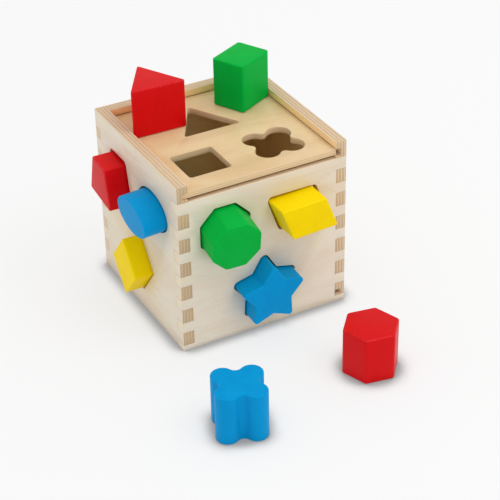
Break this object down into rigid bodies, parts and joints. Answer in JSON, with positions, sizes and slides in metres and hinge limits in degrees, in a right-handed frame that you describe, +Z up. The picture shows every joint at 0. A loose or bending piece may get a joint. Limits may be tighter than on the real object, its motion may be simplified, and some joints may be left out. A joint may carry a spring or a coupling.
{
  "type": "shape sorter",
  "caption": "Wooden shape sorter: a finger-jointed plywood box with a sliding lid, shaped holes in its sides and lid, and a painted block for each hole.",
  "frame": {"origin": "centre of the floor area the whole set covers (box plus the loose blocks), on the floor", "axes": "+Z up from the floor; +Y towards the back of the box; +X to the right seen from the front"},
  "size_m": [0.184, 0.2596, 0.1731],
  "materials": {
    "birch_plywood": "clear satin",
    "birch_plywood_lid": "clear satin",
    "red_paint": "painted satin",
    "yellow_paint": "painted satin",
    "blue_paint": "painted satin",
    "green_paint": "painted satin"
  },
  "bodies": {
    "box": {"left_wall": "birch_plywood", "right_wall": "birch_plywood", "front_wall": "birch_plywood", "back_wall": "birch_plywood", "bottom_panel": "birch_plywood"},
    "lid": {"sliding_lid": "birch_plywood_lid"},
    "trapezoid": {"trapezoid_block": "red_paint"},
    "oval": {"oval_block": "blue_paint"},
    "diamond": {"diamond_block": "yellow_paint"},
    "octagon": {"octagon_block": "green_paint"},
    "parallelogram": {"parallelogram_block": "yellow_paint"},
    "star": {"star_block": "blue_paint"},
    "circle": {"circle_block": "yellow_paint"},
    "triangle": {"triangle_block": "red_paint"},
    "rectangle": {"rectangle_block": "green_paint"},
    "clover": {"clover_block": "blue_paint"},
    "hexagon": {"hexagon_block": "red_paint"},
    "square": {"square_block": "green_paint"}
  },
  "joints": [
    {"name": "lid_slide", "type": "slide", "parent": "box", "child": "lid", "axis": [0, -1, 0], "range_m": [0, 0.14]},
    {"name": "trapezoid_slide", "type": "slide", "parent": "box", "child": "trapezoid", "axis": [-0.9989, 0.0436, -0.0157], "range_m": [-0.025, 0.026]},
    {"name": "oval_slide", "type": "slide", "parent": "box", "child": "oval", "axis": [-0.9981, 0, -0.061], "range_m": [0, 0.023]},
    {"name": "diamond_slide", "type": "slide", "parent": "box", "child": "diamond", "axis": [-1, 0, 0], "range_m": [-0.024, 0.027]},
    {"name": "octagon_slide", "type": "slide", "parent": "box", "child": "octagon", "axis": [-0.0518, -0.9877, -0.1476], "range_m": [0, 0.023]},
    {"name": "parallelogram_slide", "type": "slide", "parent": "box", "child": "parallelogram", "axis": [0, -1, 0], "range_m": [-0.022, 0.022]},
    {"name": "star_slide", "type": "slide", "parent": "box", "child": "star", "axis": [-0.0174, -0.9985, -0.0523], "range_m": [-0.022, 0.027]},
    {"name": "circle_slide", "type": "slide", "parent": "box", "child": "circle", "axis": [1, 0, 0], "range_m": [-0.02, 0.025]},
    {"name": "triangle_lift", "type": "slide", "parent": "lid", "child": "triangle", "axis": [0, 0, 1], "range_m": [0, 0.05]},
    {"name": "rectangle_lift", "type": "slide", "parent": "lid", "child": "rectangle", "axis": [0, 0, 1], "range_m": [0, 0.05]},
    {"name": "clover_lift", "type": "slide", "parent": "box", "child": "clover", "axis": [0, 0, 1], "range_m": [0, 0.08]},
    {"name": "hexagon_lift", "type": "slide", "parent": "box", "child": "hexagon", "axis": [0, 0, 1], "range_m": [0, 0.08]},
    {"name": "square_lift", "type": "slide", "parent": "box", "child": "square", "axis": [0, 0, 1], "range_m": [0, 0.075]}
  ]
}
